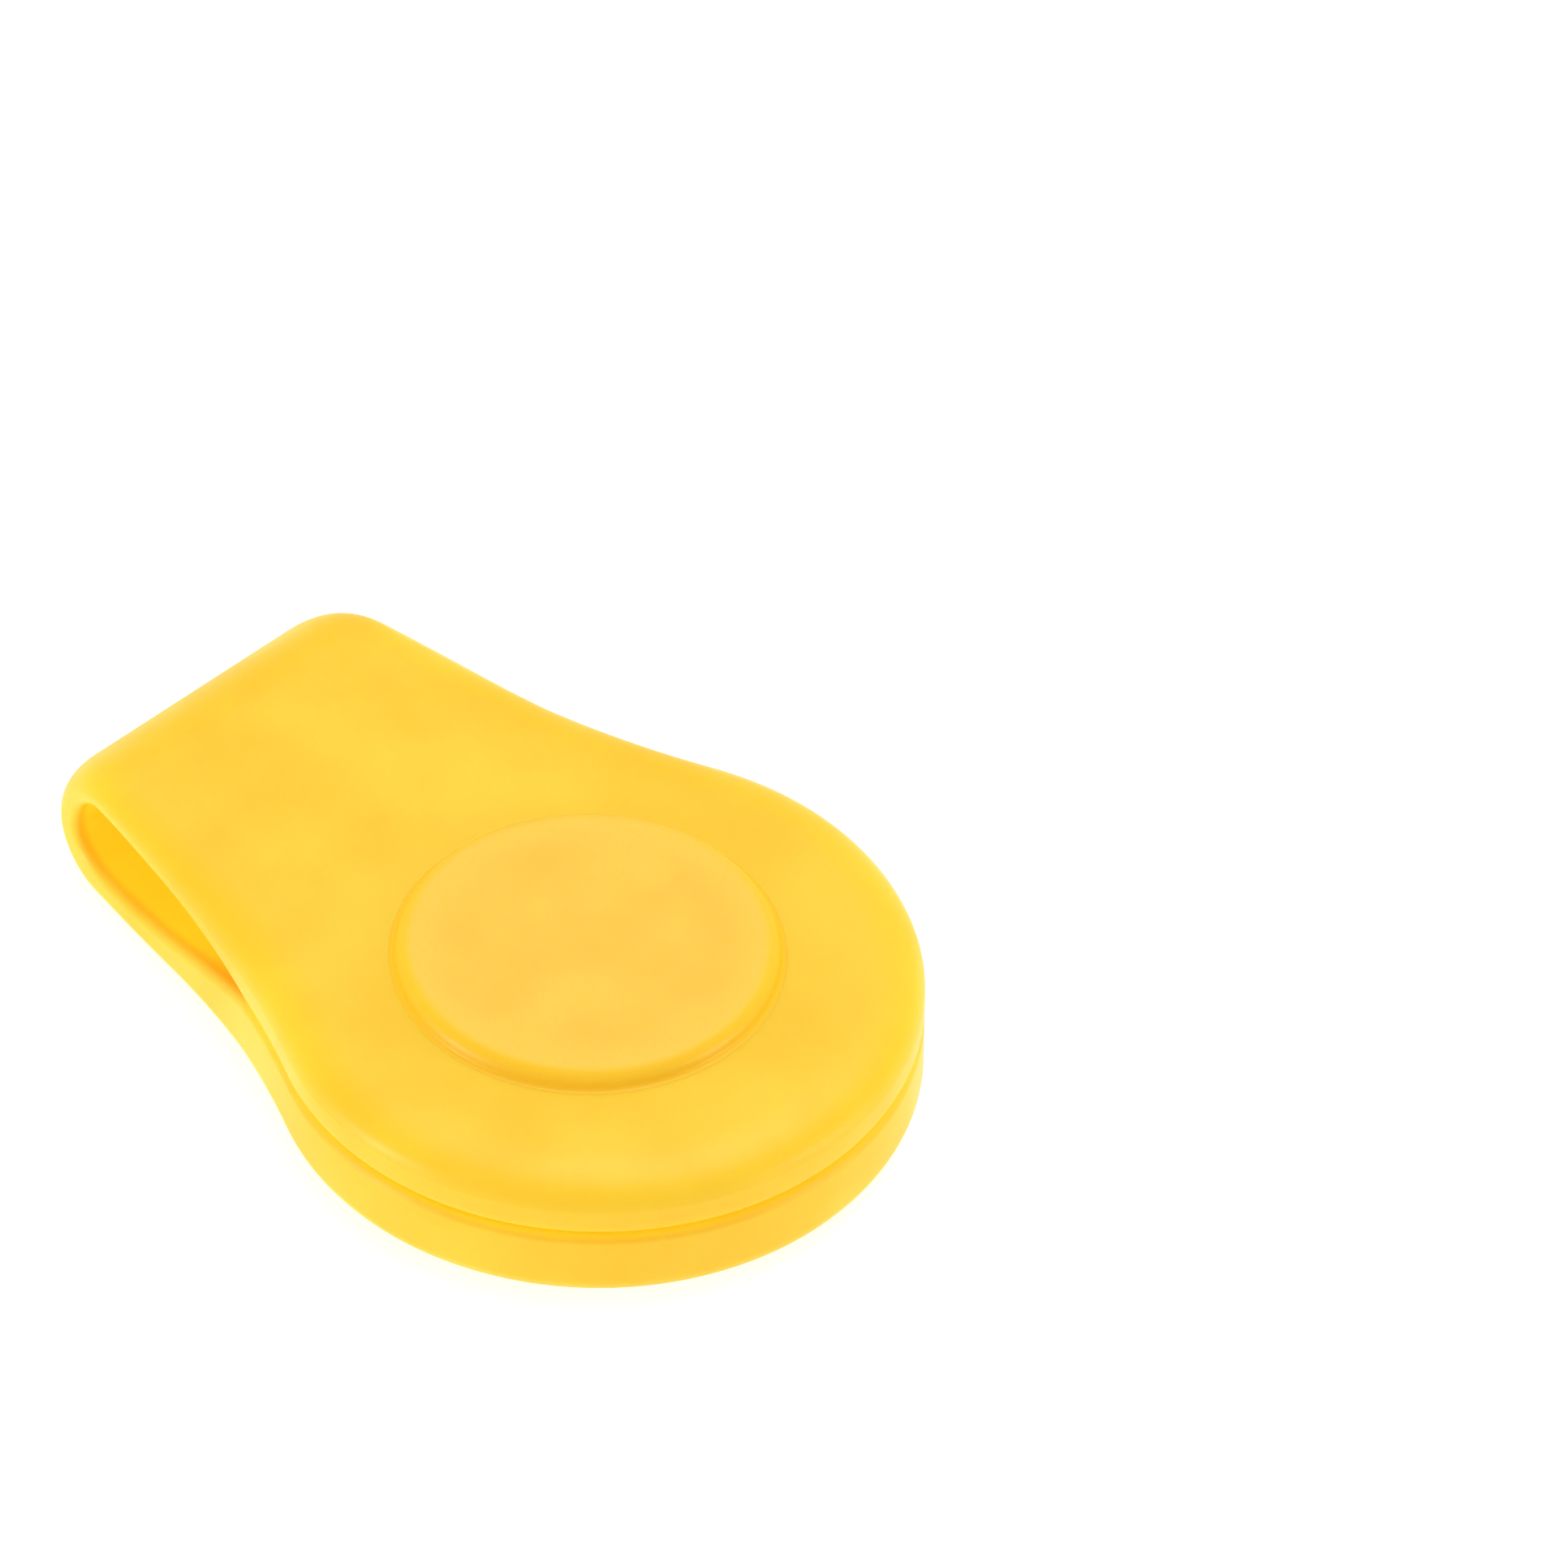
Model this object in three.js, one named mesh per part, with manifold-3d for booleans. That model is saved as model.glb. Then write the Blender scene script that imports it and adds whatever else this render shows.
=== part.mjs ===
// A folded silicone clip, in millimetres. A strap folds over at one end (-X) and carries a round
// paddle at each free end (+X). A magnet in each paddle closes the clip on the edge of a cap brim
// or a pocket. The upper paddle has a raised round pad, with its magnet just under the surface.
// The origin is at the bottom centre of the box, +Z is up and +Y runs across the strap.
import * as THREE from 'three';
import Module from 'manifold-3d';
import { mergeVertices } from 'three/addons/utils/BufferGeometryUtils.js';

// Plan outline: a flaring strap, a concave neck and a round head.
const LENGTH = 48.7;
const HEAD_RADIUS = 17;
const STRAP_HALF_WIDTH = 9.25;
const STRAP_FLARE = 0.176;
const NECK_RADIUS = 54;

// Side profile. Heights are measured from the middle of the thickness. The paddles meet a little
// above it, because the lower one is the thicker of the two. The fold's apex lies a little below
// it, so the fold is rounder above than below.
const THICKNESS = 8.15;
const UPPER_REACH = 5.2;
const LOWER_REACH = 3.8;
const FOLD_DROP = 0.5;
const FOLD_WALL = 2.2;
const LOOP_HALF_HEIGHT = 2.25;
const LOOP_CREST = 4.6;
const LOOP_END = 19.2;
const LOOP_TAPER = 1.2;
const GRIP_RISE = 0.8;
const GRIP_GAP = 0.1;
const HINGE_ANGLE = 0.6;
const CUT_ANGLE = 0.03;

// Rounded edges: how far each one reaches in from the outline, and how deep it goes. In a thin
// wall the outer one takes no more than its share.
const OUTER_EDGE = { inset: 2.9, depth: 1.6 };
const INNER_EDGE = { inset: 0.5, depth: 0.5 };
const UPPER_SHARE = 0.6;
const LOWER_SHARE = 0.34;
const EDGES_SHARE = 0.97;

// Raised pad, magnets and the cover over the lower magnet.
const PAD_OFFSET = -0.74;
const PAD_RADIUS = 10.1;
const PAD_RISE = 1.0;
const PAD_DEPTH = 1.1;
const PAD_EDGE = 0.85;
const PAD_SKIN = 0.45;
const GROOVE = 0.3;
const MAGNET_RADIUS = 7.5;
const MAGNET_THICKNESS = 2;
const COVER_RADIUS = 8.9;
const COVER_THICKNESS = 0.6;
const BOND = 0.1;

// Smoothness of the faceted solids.
const FOLD_STEPS = 7;
const FLARE_STEPS = 7;
const NECK_STEPS = 6;
const HEAD_STEPS = 18;
const EDGE_STEPS = 5;
const ROUND_STEPS = 48;

const MIDDLE_Z = THICKNESS / 2;
const FOLD_X = -LENGTH / 2;
const HEAD_X = LENGTH / 2 - HEAD_RADIUS;
const HEAD_U = HEAD_X - FOLD_X;
const PAD_X = HEAD_X + PAD_OFFSET;

const SILICONE = { color: 0xffc928, roughness: 0.42, metalness: 0 };
const COVER_SILICONE = { color: 0xffcf3a, roughness: 0.5, metalness: 0 };
const NICKEL = { color: 0xb9bcbf, roughness: 0.25, metalness: 1 };

const wasm = await Module();
wasm.setup();

// ---- Plan outline -------------------------------------------------------------------------

// The neck's arc touches both the flaring edge and the head, which fixes its centre.
function neckCentre() {
  const slope = Math.hypot(1, STRAP_FLARE);
  const rise = STRAP_HALF_WIDTH + NECK_RADIUS * slope;
  const a = slope * slope;
  const b = 2 * (STRAP_FLARE * rise - HEAD_U);
  const c = HEAD_U * HEAD_U + rise * rise - (HEAD_RADIUS + NECK_RADIUS) ** 2;
  const u = (-b - Math.sqrt(b * b - 4 * a * c)) / (2 * a);
  return new THREE.Vector2(u, rise + STRAP_FLARE * u);
}

function halfWidth(u) {
  return STRAP_HALF_WIDTH + STRAP_FLARE * u;
}

// How far the fold's rounding reaches along the upper or the lower strap.
function foldReach(upward) {
  return upward > 0 ? UPPER_REACH : LOWER_REACH;
}

// Points along the outline past the fold, each with the outward normal that an inset follows.
// The normals start square to the strap, so the fold's end sections stay flat.
function outlinePoints(upward) {
  const slope = Math.hypot(1, STRAP_FLARE);
  const neck = neckCentre();
  const head = new THREE.Vector2(HEAD_U, 0);
  const flareEnd = neck.x + (NECK_RADIUS * STRAP_FLARE) / slope;
  const points = [];
  for (let i = 1; i <= FLARE_STEPS; i++) {
    const part = i / FLARE_STEPS;
    const u = THREE.MathUtils.lerp(foldReach(upward), flareEnd, part);
    const normal = new THREE.Vector2((-STRAP_FLARE / slope) * part, 1);
    points.push({ at: new THREE.Vector2(u, halfWidth(u)), normal });
  }
  const toNeck = neck.clone().sub(head).angle();
  const from = Math.PI / 2 - Math.atan(STRAP_FLARE);
  for (let i = 1; i <= NECK_STEPS; i++) {
    const angle = THREE.MathUtils.lerp(from, Math.PI - toNeck, i / NECK_STEPS);
    const normal = new THREE.Vector2(-Math.cos(angle), Math.sin(angle));
    points.push({ at: neck.clone().addScaledVector(normal, -NECK_RADIUS), normal });
  }
  for (let i = 1; i <= HEAD_STEPS; i++) {
    const angle = toNeck * (1 - i / HEAD_STEPS);
    const normal = new THREE.Vector2(Math.cos(angle), Math.sin(angle));
    points.push({ at: head.clone().addScaledVector(normal, HEAD_RADIUS), normal });
  }
  return points;
}

// ---- Side profile -------------------------------------------------------------------------

// Distance of a half's inner face from the middle: it goes from the loop's crest to the grip.
function innerHeight(u, upward) {
  const part = THREE.MathUtils.clamp((u - LOOP_CREST) / (LOOP_END - LOOP_CREST), 0, 1);
  const fall = (1 - part) ** LOOP_TAPER * (1 + LOOP_TAPER * part);
  return THREE.MathUtils.lerp(GRIP_GAP + upward * GRIP_RISE, LOOP_HALF_HEIGHT, fall);
}

// A section across the fold. The angle is 0 at the apex and a quarter turn where the strap is flat.
function foldSection(angle, upward) {
  const side = Math.cos(angle);
  const height = (full) => THREE.MathUtils.lerp(-upward * FOLD_DROP, full, Math.sin(angle));
  const outer = new THREE.Vector2(foldReach(upward) * (1 - side), height(MIDDLE_Z));
  const innerU = LOOP_CREST - (LOOP_CREST - FOLD_WALL) * side;
  return { outer, inner: new THREE.Vector2(innerU, height(LOOP_HALF_HEIGHT)) };
}

// One point of a rounded edge: an inset from the outline and a depth from its own face.
function edgeStops() {
  const stops = [];
  for (let i = 0; i <= EDGE_STEPS; i++) {
    const angle = ((1 - i / EDGE_STEPS) * Math.PI) / 2;
    stops.push({ face: 'inner', ...INNER_EDGE, angle });
  }
  for (let i = 0; i <= EDGE_STEPS; i++) {
    const angle = ((i / EDGE_STEPS) * Math.PI) / 2;
    stops.push({ face: 'outer', ...OUTER_EDGE, angle });
  }
  return stops;
}

// Depths of the two edges in a wall. In a thin one both shrink until they just meet, and each
// edge's inset narrows with its depth. The lean is 1 in the upper strap, -1 in the lower one, and
// passes from one to the other round the fold.
function edgeDepths(wall, lean) {
  const outerShare = THREE.MathUtils.lerp(LOWER_SHARE, UPPER_SHARE, (1 + lean) / 2);
  const outer = Math.min(OUTER_EDGE.depth, outerShare * wall);
  const inner = Math.min(INNER_EDGE.depth, EDGES_SHARE * wall - outer);
  return { inner, outer };
}

function stopInset(stop, depths) {
  return stop.inset * Math.sqrt(depths[stop.face] / stop.depth) * (1 - Math.cos(stop.angle));
}

function stopPoint(stop, inner, outer, depths) {
  const depth = depths[stop.face] * (1 - Math.sin(stop.angle));
  const share = depth / inner.distanceTo(outer);
  return stop.face === 'inner'
    ? inner.clone().lerp(outer, share)
    : outer.clone().lerp(inner, share);
}

// A closed loop of 3-D points around one section, from the inner face's +Y edge over the outer face.
function sectionLoop(pointAt, upward) {
  const rightSide = edgeStops().map(pointAt);
  const leftSide = rightSide.toReversed().map((p) => new THREE.Vector3(p.x, -p.y, p.z));
  const loop = [...rightSide, ...leftSide];
  for (const point of loop) {
    point.x += FOLD_X;
    point.z = MIDDLE_Z + upward * point.z;
  }
  return loop;
}

function foldLoop(angle) {
  const upward = angle < 0 ? -1 : 1;
  const { outer, inner } = foldSection(Math.abs(angle), upward);
  const depths = edgeDepths(inner.distanceTo(outer), Math.sin(angle));
  const pointAt = (stop) => {
    const point = stopPoint(stop, inner, outer, depths);
    return new THREE.Vector3(point.x, halfWidth(outer.x) - stopInset(stop, depths), point.y);
  };
  return sectionLoop(pointAt, upward);
}

function flatLoop({ at, normal }, upward) {
  const depths = edgeDepths(MIDDLE_Z - innerHeight(at.x, upward), upward);
  const pointAt = (stop) => {
    const place = at.clone().addScaledVector(normal, -stopInset(stop, depths));
    const inner = new THREE.Vector2(place.x, innerHeight(place.x, upward));
    const outer = new THREE.Vector2(place.x, MIDDLE_Z);
    const point = stopPoint(stop, inner, outer, depths);
    return new THREE.Vector3(point.x, Math.max(place.y, 0), point.y);
  };
  return sectionLoop(pointAt, upward);
}

// ---- Solids -------------------------------------------------------------------------------

// Joins closed loops into one closed body. Each end is closed by strips across its loop, and a
// last loop whose two sides coincide closes by itself.
function loft(loops, reversed) {
  const count = loops[0].length;
  const positions = loops.flat().flatMap((p) => [p.x, p.y, p.z]);
  const triangles = [];
  const quad = (a, b, c, d) => triangles.push([a, b, c], [a, c, d]);
  for (let i = 0; i + 1 < loops.length; i++) {
    for (let j = 0; j < count; j++) {
      const k = (j + 1) % count;
      quad(i * count + j, i * count + k, (i + 1) * count + k, (i + 1) * count + j);
    }
  }
  const last = (loops.length - 1) * count;
  for (let j = 0; j < count / 2 - 1; j++) {
    const across = count - 1 - j;
    quad(j, across, across - 1, j + 1);
    quad(last + j, last + j + 1, last + across - 1, last + across);
  }
  const flip = ([a, b, c]) => [a, c, b];
  const geometry = new THREE.BufferGeometry();
  geometry.setAttribute('position', new THREE.Float32BufferAttribute(positions, 3));
  geometry.setIndex((reversed ? triangles.map(flip) : triangles).flat());
  return geometry;
}

function toSolid(geometry) {
  const bare = geometry.clone();
  bare.deleteAttribute('normal');
  bare.deleteAttribute('uv');
  const merged = mergeVertices(bare, 1e-4);
  const corner = merged.index.array;
  const triangles = [];
  for (let i = 0; i < corner.length; i += 3) {
    const [a, b, c] = corner.slice(i, i + 3);
    if (a !== b && b !== c && c !== a) triangles.push(a, b, c);
  }
  return new wasm.Manifold(new wasm.Mesh({
    numProp: 3,
    vertProperties: merged.attributes.position.array,
    triVerts: Uint32Array.from(triangles),
  }));
}

function toGeometry(solid) {
  const mesh = solid.getMesh();
  const geometry = new THREE.BufferGeometry();
  geometry.setAttribute('position', new THREE.BufferAttribute(mesh.vertProperties, 3));
  geometry.setIndex(new THREE.BufferAttribute(mesh.triVerts, 1));
  return geometry;
}

// A disc or pocket turned about a vertical axis, between two heights.
function disc(x, radius, low, high, edge = 0) {
  const profile = [new THREE.Vector2(0, low), new THREE.Vector2(radius, low)];
  const steps = edge > 0 ? EDGE_STEPS : 0;
  for (let i = 0; i <= steps; i++) {
    const angle = steps ? ((i / steps) * Math.PI) / 2 : 0;
    const inset = edge * (1 - Math.cos(angle));
    profile.push(new THREE.Vector2(radius - inset, high - edge * (1 - Math.sin(angle))));
  }
  profile.push(new THREE.Vector2(0, high));
  const geometry = new THREE.LatheGeometry(profile, ROUND_STEPS);
  geometry.rotateX(Math.PI / 2);
  geometry.translate(x, 0, 0);
  return geometry;
}

function cut(geometry, ...pockets) {
  const blank = toSolid(geometry);
  return toGeometry(pockets.reduce((solid, pocket) => solid.subtract(toSolid(pocket)), blank));
}

function paddleBlank(upward) {
  const loops = [];
  const start = HINGE_ANGLE + CUT_ANGLE;
  for (let i = 0; i <= FOLD_STEPS; i++) {
    const angle = THREE.MathUtils.lerp(start, Math.PI / 2, i / FOLD_STEPS);
    loops.push(foldLoop(upward * angle));
  }
  loops.push(...outlinePoints(upward).map((point) => flatLoop(point, upward)));
  return loft(loops, upward < 0);
}

// ---- Sub-parts ----------------------------------------------------------------------------

const PAD_TOP = THICKNESS + PAD_RISE;
const PAD_FLOOR = THICKNESS - PAD_DEPTH;
const UPPER_MAGNET_TOP = PAD_TOP - PAD_SKIN;
const UPPER_MAGNET_LOW = UPPER_MAGNET_TOP - MAGNET_THICKNESS;
const GRIP_FACE = MIDDLE_Z + GRIP_RISE - GRIP_GAP;
const COVER_LOW = GRIP_FACE - COVER_THICKNESS;
const LOWER_MAGNET_TOP = COVER_LOW - BOND;
const LOWER_MAGNET_LOW = LOWER_MAGNET_TOP - MAGNET_THICKNESS;
const SEAT_RADIUS = MAGNET_RADIUS + BOND;
const PAST = 1;

function upperPaddle() {
  const recess = disc(PAD_X, PAD_RADIUS + GROOVE, PAD_FLOOR - BOND, PAD_TOP + PAST);
  const seat = disc(PAD_X, SEAT_RADIUS, UPPER_MAGNET_LOW - BOND, PAD_TOP);
  return cut(paddleBlank(1), recess, seat);
}

function lowerPaddle() {
  const recess = disc(PAD_X, COVER_RADIUS + BOND, COVER_LOW - BOND, GRIP_FACE + PAST);
  const seat = disc(PAD_X, SEAT_RADIUS, LOWER_MAGNET_LOW - BOND, GRIP_FACE);
  return cut(paddleBlank(-1), recess, seat);
}

// The middle of the fold, which bends as the clip opens.
function foldHinge() {
  const steps = 2 * FOLD_STEPS;
  const loops = [];
  for (let i = 0; i <= steps; i++) {
    const angle = THREE.MathUtils.lerp(-HINGE_ANGLE, HINGE_ANGLE, i / steps);
    loops.push(foldLoop(angle));
  }
  return loft(loops, false);
}

function padCap() {
  const cap = disc(PAD_X, PAD_RADIUS, PAD_FLOOR, PAD_TOP, PAD_EDGE);
  const hollow = disc(PAD_X, SEAT_RADIUS, PAD_FLOOR - PAST, UPPER_MAGNET_TOP + BOND);
  return cut(cap, hollow);
}

function named(name, geometry, finish) {
  const mesh = new THREE.Mesh(geometry, new THREE.MeshStandardMaterial(finish));
  mesh.name = name;
  return mesh;
}

const clip = new THREE.Group();
clip.add(
  named('lower_paddle', lowerPaddle(), SILICONE),
  named('lower_magnet', disc(PAD_X, MAGNET_RADIUS, LOWER_MAGNET_LOW, LOWER_MAGNET_TOP), NICKEL),
  named('lower_magnet_cover', disc(PAD_X, COVER_RADIUS, COVER_LOW, GRIP_FACE), COVER_SILICONE),
  named('fold_hinge', foldHinge(), SILICONE),
  named('upper_paddle', upperPaddle(), SILICONE),
  named('upper_magnet', disc(PAD_X, MAGNET_RADIUS, UPPER_MAGNET_LOW, UPPER_MAGNET_TOP), NICKEL),
  named('pad_cap', padCap(), COVER_SILICONE),
);

export default clip;
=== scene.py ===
"""The looks of a folded silicone clip: one moulded strap with a round paddle at each end, a raised
pad over the upper magnet and a flush cover over the lower one. Lengths are in metres."""

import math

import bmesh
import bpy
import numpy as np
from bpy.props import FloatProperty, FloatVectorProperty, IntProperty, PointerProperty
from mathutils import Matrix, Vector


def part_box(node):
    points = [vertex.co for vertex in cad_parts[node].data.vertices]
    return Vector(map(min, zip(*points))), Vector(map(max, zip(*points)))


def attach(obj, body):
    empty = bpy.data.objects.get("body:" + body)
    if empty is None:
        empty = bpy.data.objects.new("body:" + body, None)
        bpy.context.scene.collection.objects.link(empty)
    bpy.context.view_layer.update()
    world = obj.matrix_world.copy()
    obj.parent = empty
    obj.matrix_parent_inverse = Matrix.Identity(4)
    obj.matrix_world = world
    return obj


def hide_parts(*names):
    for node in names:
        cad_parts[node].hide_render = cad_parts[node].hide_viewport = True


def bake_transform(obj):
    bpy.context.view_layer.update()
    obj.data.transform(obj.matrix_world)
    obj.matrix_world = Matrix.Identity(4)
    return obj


bl_info = {
    "name": "Folded silicone clip",
    "version": (1, 0, 0),
    "blender": (4, 5, 0),
    "location": "3D View > Sidebar > Clip",
    "description": "Builds the silicone, the pad, the magnets and the studio of a folded clip",
    "category": "Add Mesh",
}

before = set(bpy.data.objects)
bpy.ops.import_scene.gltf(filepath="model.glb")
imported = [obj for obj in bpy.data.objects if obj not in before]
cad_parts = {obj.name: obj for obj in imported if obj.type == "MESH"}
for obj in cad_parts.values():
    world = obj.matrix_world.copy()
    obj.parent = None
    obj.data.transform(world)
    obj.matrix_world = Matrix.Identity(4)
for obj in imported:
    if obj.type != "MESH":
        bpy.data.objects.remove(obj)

# ---- Places and sizes that come from the frame ----------------------------------------------

LOWER, UPPER = "lower_half", "upper_half"
MM = 0.001

PADDLE_LOW, PADDLE_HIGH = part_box("upper_paddle")
PAD_LOW, PAD_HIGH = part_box("pad_cap")
COVER_LOW, COVER_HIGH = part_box("lower_magnet_cover")
MAGNET_LOW, MAGNET_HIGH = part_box("upper_magnet")

FOLD_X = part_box("fold_hinge")[0].x
MIDDLE_Z = PADDLE_HIGH.z / 2
HEAD_RADIUS = (PADDLE_HIGH.y - PADDLE_LOW.y) / 2
HEAD_U = PADDLE_HIGH.x - HEAD_RADIUS - FOLD_X
GRIP_GAP = (PADDLE_LOW.z - COVER_HIGH.z) / 2
GRIP_RISE = (PADDLE_LOW.z + COVER_HIGH.z) / 2 - MIDDLE_Z
PAD_CENTRE = (PAD_LOW + PAD_HIGH) / 2
PAD_RADIUS = (PAD_HIGH.x - PAD_LOW.x) / 2
PAD_U = PAD_CENTRE.x - FOLD_X
COVER_RADIUS = (COVER_HIGH.x - COVER_LOW.x) / 2
MAGNET_RADIUS = (MAGNET_HIGH.x - MAGNET_LOW.x) / 2

# ---- Fixed choices of the mesh and the looks --------------------------------------------------

# Points across the strap, sections round each half of the fold, and points round a turned piece.
ACROSS_STEPS = 26
FOLD_STEPS = 26
ROUND_STEPS = 160

# Turns, in radians, at the points of an edge's rounding: closest together at the parting ridge.
EDGE_TURNS = (0.0, 0.035, 0.07, 0.12, 0.18, *np.linspace(0.27, math.pi / 2, 10))

# Most of a wall that both edge roundings may take together.
EDGES_SHARE = 0.97

# How far along the flaring strap its square sections end and the head's fan of sections starts.
HEAD_START_SHARE = 0.62

# Rings of a plain face and of a face round a pocket, the radius at which a plain face closes as
# a share of the head's, and shares of the pocket's depth and radius where it has rings.
PLAIN_RINGS, POCKET_RINGS = 22, 16
CORE_SHARE = 0.2
POCKET_WALL = (0.5, 1.0)
POCKET_FLOOR = (0.85, 0.5, 0.2)
PAD_TOP = (0.8, 0.6, 0.4, 0.2)

# Small corners of the pad's hidden foot, of its hollow over the magnet, and of the lower cover.
PAD_FOOT = 0.15 * MM
SEAT_CORNER = 0.1 * MM
COVER_EDGE = 0.12 * MM

# Where light comes through the silicone: ranges along the strap, off the loop's middle, in from
# the strap's edge and off the grip, and the share of the light that the grip gets.
GLOW_START, GLOW_END = (1.8 * MM, 2.3 * MM), (11 * MM, 21 * MM)
GLOW_HEIGHT = (2.2 * MM, 2.7 * MM)
GLOW_EDGE = (0.2 * MM, 1.0 * MM)
GRIP_START = (14 * MM, 17 * MM)
GRIP_HEIGHT = (0.12 * MM, 0.4 * MM)
GRIP_SHARE = 0.75

SILICONE_IOR = 1.37

# Each soft light's name, place, size in metres and power in watts, and the white room's strength.
LIGHTS = (("top_light", (-0.1, 0.25, 0.9), (0.8, 0.8), 5.6),
          ("left_light", (-0.235, -0.54, 0.05), (0.07, 0.1), 1.15),
          ("right_light", (0.54, 0.27, 0.08), (0.1, 0.12), 0.8))
ROOM_STRENGTH = 0.5


# ---- Sizes and colours that a user may change -------------------------------------------------

def length(name, description, default):
    """A length in metres, given here in millimetres."""
    return FloatProperty(name=name, description=description, default=default * MM, precision=5,
                         min=0.0, unit="LENGTH", subtype="DISTANCE")


def share(name, description, default, high=1.0):
    return FloatProperty(name=name, description=description, default=default, min=0.0, max=high,
                         subtype="FACTOR")


def colour(name, description, default):
    return FloatVectorProperty(name=name, description=description, default=default, size=3,
                               min=0.0, max=1.0, subtype="COLOR")


class ClipShape(bpy.types.PropertyGroup):
    """The moulded silicone strap and its two paddles."""

    strap_half_width: length("Strap half width", "Half of the strap's width at the fold", 9.25)
    strap_flare: share("Strap flare", "How much the half width grows along the strap", 0.176)
    neck_radius: length("Neck radius", "Radius of the hollow curve from strap to paddle", 54.0)
    upper_reach: length("Upper fold reach", "How far the fold rounds the upper strap", 5.2)
    lower_reach: length("Lower fold reach", "How far the fold rounds the lower strap", 3.8)
    fold_drop: length("Fold drop", "How far the fold's apex lies below the middle", 0.5)
    fold_wall: length("Fold wall", "Thickness of the silicone at the fold's apex", 2.2)
    loop_half_height: length("Loop half height", "Half of the loop's height at its highest", 2.25)
    loop_crest: length("Loop crest", "Where the loop is highest, from the fold's apex", 4.6)
    loop_end: length("Loop end", "Where the two halves meet, from the fold's apex", 19.2)
    loop_taper: FloatProperty(name="Loop taper", description="How fast the loop closes",
                              default=1.2, min=1.0, max=4.0)
    outer_inset: length("Outer edge inset", "Width of the rounding on the outer faces", 2.9)
    outer_depth: length("Outer edge depth", "Depth of the rounding on the outer faces", 1.6)
    inner_inset: length("Inner edge inset", "Width of the rounding on the inner faces", 0.5)
    inner_depth: length("Inner edge depth", "Depth of the rounding on the inner faces", 0.5)
    upper_share: share("Upper share", "Most of a thin upper wall that its rounding takes", 0.6)
    lower_share: share("Lower share", "Most of a thin lower wall that its rounding takes", 0.34)
    ridge_height: length("Parting ridge height", "Height of the line left by the mould", 0.035)
    ridge_width: length("Parting ridge width", "Width of the line left by the mould", 0.16)
    bend_reach: length("Bend reach", "How far along the strap from the fold it bends", 11.4)
    strap_steps: IntProperty(name="Strap steps", description="Rows along each half of the strap",
                             default=40, min=8, max=200)
    head_steps: IntProperty(name="Head steps", description="Columns round each half of a paddle",
                            default=84, min=16, max=300)


class PadShape(bpy.types.PropertyGroup):
    """The raised pad, its groove and the lower magnet's cover."""

    fillet: length("Fillet", "Hollow rounding where the pad's side meets the paddle", 0.3)
    lip: length("Lip", "Rounding of the pockets' mouths", 0.08)
    edge: length("Pad edge", "Rounding of the pad's top edge", 1.0)
    brim: length("Pad brim", "Width of the smooth ring round the pad's top", 1.1)
    dish: length("Pad dish", "How far the pad's middle dips below its brim", 0.05)
    bond: length("Bond line", "Gap round bonded pieces", 0.1)


class ClipFinish(bpy.types.PropertyGroup):
    """Colours and surface of the silicone and the magnets."""

    silicone: colour("Silicone", "Colour of the moulded silicone", (1.0, 0.655, 0.030))
    # A deeper colour: the silicone's random clouds and the pad's grain specks, and also painted shade
    # near the magnet and on the pad's side, and the tint of the painted loop glow.
    deep_tone_and_shade: colour("Deep silicone", "Colour where the silicone is thick", (1.0, 0.585, 0.018))
    # Painted shade: a darker colour where the pad's side runs into the paddle, on both the paddle and
    # the pad.
    crevice_shade: colour("Crevice", "Colour where the pad's side runs into the paddle", (1.0, 0.55, 0.010))
    glow: share("Loop glow", "Light that comes through the strap into the loop", 0.35)
    pad: colour("Pad", "Colour of the pad over the magnet", (1.0, 0.56, 0.060))
    pad_brim: colour("Pad brim", "Colour of the pad's brim, past the magnet", (1.0, 0.62, 0.075))
    nickel: colour("Nickel", "Colour of the magnets' plating", (0.68, 0.66, 0.62))
    roughness: share("Roughness", "Roughness of the moulded silicone", 0.42)
    translucency: share("Translucency", "How much light travels inside the silicone", 0.5)
    glow_depth: length("Glow depth", "How far light travels inside the silicone", 1.3)


class StudioSetup(bpy.types.PropertyGroup):
    """Floor, lights and camera."""

    floor: colour("Floor", "Colour of the studio floor", (0.4, 0.4, 0.4))
    floor_glow: share("Floor glow", "Light that the floor, a light table, gives by itself", 0.8)
    azimuth: FloatProperty(name="Azimuth", description="Camera's turn round the clip, 0 along +Y",
                           default=math.radians(45.8), subtype="ANGLE")
    elevation: FloatProperty(name="Elevation", description="Camera's height over the floor",
                             default=math.radians(44.1), subtype="ANGLE")
    roll: FloatProperty(name="Roll", description="Camera's turn about its own axis",
                        default=math.radians(0.7), subtype="ANGLE")
    distance: length("Distance", "From the camera to the paddle's middle", 1270.0)
    frame_width: length("Frame width", "Width of the view at the paddle", 81.33)
    aim_right: length("Aim right", "How far right of the paddle's middle the camera aims", 9.67)
    aim_up: length("Aim up", "How far above the paddle's middle the camera aims", 9.22)


# ---- Plan outline and side profile of one half ------------------------------------------------

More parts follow.
